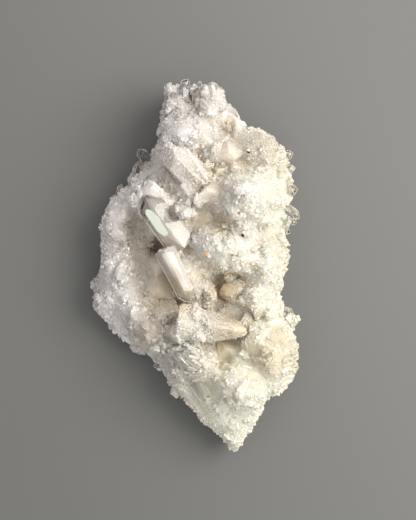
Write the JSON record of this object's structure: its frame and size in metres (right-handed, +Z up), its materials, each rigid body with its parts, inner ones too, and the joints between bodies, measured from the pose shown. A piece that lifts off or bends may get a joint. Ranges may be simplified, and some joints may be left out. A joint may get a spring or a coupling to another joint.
{
  "type": "quartz cluster",
  "caption": "Natural cluster of intergrown milky and clear quartz crystals, long and pointed at one end, lying on a flat broken underside.",
  "frame": {"origin": "centre of the bounding box, on the level of the flat broken underside", "axes": "+Z up out of the underside, +Y along the cluster towards its blunt crown, +X towards its spiky edge"},
  "size_m": [0.062, 0.111, 0.037],
  "materials": {
    "quartz": "milky quartz coated with fine glossy crystals, clear at the points, tan in the hollows"
  },
  "bodies": {
    "root": {"quartz_cluster": "quartz"}
  },
  "joints": []
}
